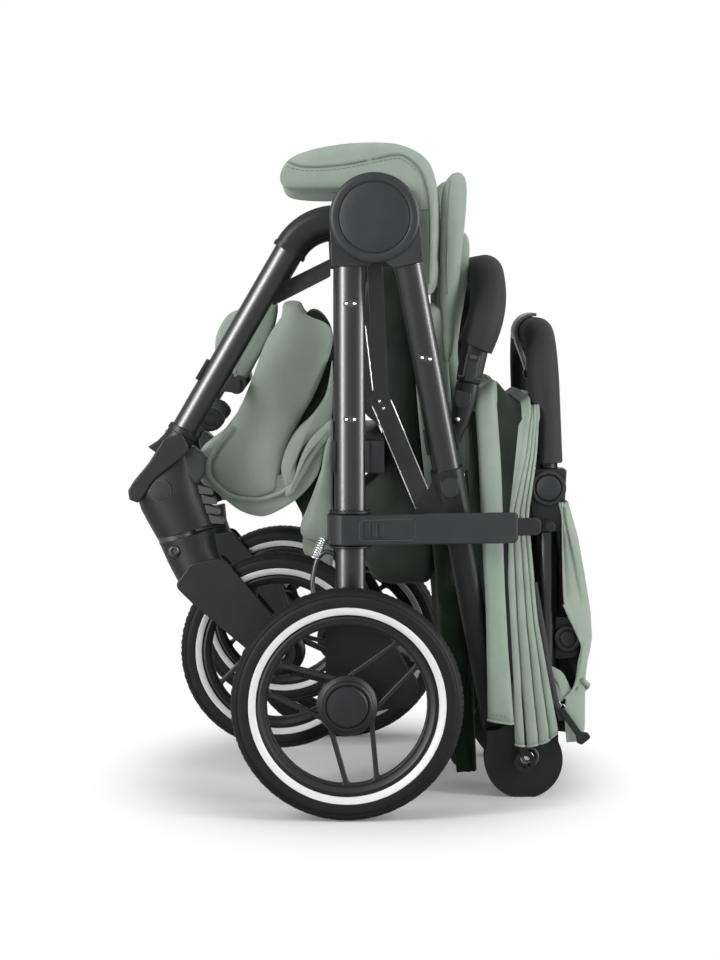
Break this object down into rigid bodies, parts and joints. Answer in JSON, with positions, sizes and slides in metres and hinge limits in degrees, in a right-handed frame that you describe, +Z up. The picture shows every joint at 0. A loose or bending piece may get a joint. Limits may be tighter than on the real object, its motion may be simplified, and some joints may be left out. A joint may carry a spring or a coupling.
{
  "type": "jogging stroller",
  "caption": "Folded all-terrain stroller with air-tyre style wheels, foam grip, bumper bar, fabric seat, canopy and basket, and joints that unfold it.",
  "frame": {"origin": "middle of the folded stroller's footprint box, on the ground", "axes": "+X towards the rear, where the handle is, +Y towards the child's right, +Z up; the rest pose is the folded stroller standing on its rear wheels and its lower handle joints"},
  "size_m": [0.455, 0.528, 0.645],
  "materials": {
    "satin_black_tube": "satin",
    "steel": "satin",
    "chrome": "polished",
    "black_plastic": "fine grain",
    "grey_plastic": "satin",
    "tyre": "matt",
    "foam": "matt",
    "sage_fabric": "woven",
    "webbing": "woven",
    "cable": "matt"
  },
  "bodies": {
    "rear_frame": {"rear_legs": "satin_black_tube", "rear_hub_plates": "black_plastic", "hub_shaft": "steel", "axle_housings": "black_plastic", "rear_axle_tube": "satin_black_tube", "stub_axles": "steel", "rear_crossbar": "black_plastic", "frame_rivets": "chrome", "brake_cable": "cable", "lock_collar": "black_plastic"},
    "rear_wheel_left": {"rear_tyre_left": "tyre", "rear_rim_left": "black_plastic"},
    "rear_wheel_right": {"rear_tyre_right": "tyre", "rear_rim_right": "black_plastic"},
    "brake_pedal": {"brake_pedal": "black_plastic"},
    "lock_strap": {"lock_strap": "black_plastic"},
    "lock_slide": {"lock_slide": "black_plastic"},
    "front_frame": {"front_hub_plates": "black_plastic", "front_tubes": "satin_black_tube", "swivel_housings": "black_plastic", "footrest_bar": "black_plastic", "basket": "sage_fabric", "basket_strap": "webbing"},
    "fork_left": {"fork_left": "black_plastic"},
    "fork_right": {"fork_right": "black_plastic"},
    "front_wheel_left": {"front_tyre_left": "tyre", "front_rim_left": "black_plastic"},
    "front_wheel_right": {"front_tyre_right": "tyre", "front_rim_right": "black_plastic"},
    "pusher": {"pusher_hub_discs": "black_plastic", "pusher_tubes": "satin_black_tube", "pusher_sleeves": "black_plastic", "pusher_bars": "black_plastic", "lower_joint_plates": "black_plastic", "joint_bolts": "chrome", "braces": "satin_black_tube", "bumper_sockets": "black_plastic", "backrest": "sage_fabric", "side_wings": "sage_fabric", "seat_corner": "sage_fabric"},
    "release_button_left": {"release_button_left": "black_plastic"},
    "release_button_right": {"release_button_right": "black_plastic"},
    "handle": {"handle_joint_plates": "black_plastic", "handle_tubes": "satin_black_tube", "grip_housings": "black_plastic", "canopy_back": "sage_fabric", "zip_pull": "foam"},
    "grip": {"grip_tube": "satin_black_tube", "grip_foam": "foam"},
    "grip_button_left": {"grip_button_left": "black_plastic"},
    "grip_button_right": {"grip_button_right": "black_plastic"},
    "fold_trigger": {"fold_trigger": "grey_plastic"},
    "bumper": {"bumper_bar": "black_plastic", "bumper_foam": "foam"},
    "bumper_button_left": {"bumper_button_left": "black_plastic"},
    "bumper_button_right": {"bumper_button_right": "black_plastic"},
    "seat": {"seat_cushion": "sage_fabric"},
    "canopy_mid": {"canopy_bow_mid": "black_plastic", "canopy_cloth": "sage_fabric"},
    "canopy_front": {"canopy_bow_front": "black_plastic"}
  },
  "joints": [
    {"name": "fold", "type": "hinge", "parent": "rear_frame", "child": "pusher", "pos_m": [0.0065, 0, 0.567], "axis": [0, -1, 0], "range_deg": [0, 75]},
    {"name": "front_fold", "type": "hinge", "parent": "rear_frame", "child": "front_frame", "pos_m": [0.0065, 0, 0.567], "axis": [0, 1, 0], "range_deg": [0, 73]},
    {"name": "seat_tilt", "type": "hinge", "parent": "pusher", "child": "seat", "pos_m": [0.0065, 0, 0.567], "axis": [0, 1, 0], "range_deg": [0, 148], "deforming": ["seat_corner", "side_wings"]},
    {"name": "handle_fold", "type": "hinge", "parent": "pusher", "child": "handle", "pos_m": [0.1555, 0, 0.037], "axis": [0, 1, 0], "range_deg": [0, 160]},
    {"name": "canopy_mid_open", "type": "hinge", "parent": "handle", "child": "canopy_mid", "pos_m": [0.1555, 0, 0.037], "axis": [0, -1, 0], "range_deg": [0, 56], "deforming": ["canopy_cloth"]},
    {"name": "canopy_front_open", "type": "hinge", "parent": "canopy_mid", "child": "canopy_front", "pos_m": [0.1555, 0, 0.037], "axis": [0, -1, 0], "range_deg": [0, 56]},
    {"name": "grip_adjust", "type": "hinge", "parent": "handle", "child": "grip", "pos_m": [0.1785, 0, 0.306], "axis": [0, 1, 0], "range_deg": [0, 60]},
    {"name": "trigger_squeeze", "type": "hinge", "parent": "grip", "child": "fold_trigger", "pos_m": [0.1717, 0, 0.45585], "axis": [0, 1, 0], "range_deg": [0, 12], "stiffness_Nm_per_rad": 0.3},
    {"name": "bumper_swing", "type": "hinge", "parent": "pusher", "child": "bumper", "pos_m": [0.0805, 0, 0.352], "axis": [0, 1, 0], "range_deg": [0, 15]},
    {"name": "strap_swing", "type": "hinge", "parent": "rear_frame", "child": "lock_strap", "pos_m": [-0.016, -0.18885, 0.271], "axis": [0, 0, -1], "range_deg": [0, 110]},
    {"name": "strap_release", "type": "slide", "parent": "lock_strap", "child": "lock_slide", "axis": [0.9799, 0.1994, 0], "range_m": [0, 0.006]},
    {"name": "brake_press", "type": "hinge", "parent": "rear_frame", "child": "brake_pedal", "pos_m": [0.0325, 0, 0.118], "axis": [0, 1, 0], "range_deg": [0, 18]},
    {"name": "rear_wheel_left_spin", "type": "hinge", "parent": "rear_frame", "child": "rear_wheel_left", "pos_m": [-0.0195, -0.241, 0.11], "axis": [0, 1, 0], "continuous": true},
    {"name": "fork_left_swivel", "type": "hinge", "parent": "front_frame", "child": "fork_left", "pos_m": [-0.1825, -0.145, 0.2585], "axis": [0.4131, 0, -0.9107], "range_deg": [-180, 0]},
    {"name": "front_wheel_left_spin", "type": "hinge", "parent": "fork_left", "child": "front_wheel_left", "pos_m": [-0.0845, -0.145, 0.149], "axis": [0, 1, 0], "continuous": true},
    {"name": "release_button_left_press", "type": "slide", "parent": "pusher", "child": "release_button_left", "axis": [0, 1, 0], "range_m": [0, 0.0015], "stiffness_N_per_m": 400},
    {"name": "grip_button_left_press", "type": "slide", "parent": "grip", "child": "grip_button_left", "axis": [0, 1, 0], "range_m": [0, 0.0015], "stiffness_N_per_m": 400},
    {"name": "bumper_button_left_press", "type": "slide", "parent": "bumper", "child": "bumper_button_left", "axis": [0, 1, 0], "range_m": [0, 0.0015], "stiffness_N_per_m": 400},
    {"name": "rear_wheel_right_spin", "type": "hinge", "parent": "rear_frame", "child": "rear_wheel_right", "pos_m": [-0.0195, 0.241, 0.11], "axis": [0, 1, 0], "continuous": true},
    {"name": "fork_right_swivel", "type": "hinge", "parent": "front_frame", "child": "fork_right", "pos_m": [-0.1825, 0.145, 0.2585], "axis": [0.4131, 0, -0.9107], "range_deg": [0, 180]},
    {"name": "front_wheel_right_spin", "type": "hinge", "parent": "fork_right", "child": "front_wheel_right", "pos_m": [-0.0845, 0.145, 0.149], "axis": [0, 1, 0], "continuous": true},
    {"name": "release_button_right_press", "type": "slide", "parent": "pusher", "child": "release_button_right", "axis": [0, -1, 0], "range_m": [0, 0.0015], "stiffness_N_per_m": 400},
    {"name": "grip_button_right_press", "type": "slide", "parent": "grip", "child": "grip_button_right", "axis": [0, -1, 0], "range_m": [0, 0.0015], "stiffness_N_per_m": 400},
    {"name": "bumper_button_right_press", "type": "slide", "parent": "bumper", "child": "bumper_button_right", "axis": [0, -1, 0], "range_m": [0, 0.0015], "stiffness_N_per_m": 400}
  ],
  "couplings": [
    {"joint": "front_fold", "follows": "fold", "ratio": 0.96},
    {"joint": "seat_tilt", "follows": "fold", "ratio": 1.96},
    {"joint": "handle_fold", "follows": "fold", "ratio": 2.12},
    {"joint": "canopy_mid_open", "follows": "fold", "ratio": 0.7333},
    {"joint": "canopy_front_open", "follows": "fold", "ratio": 0.7333}
  ]
}
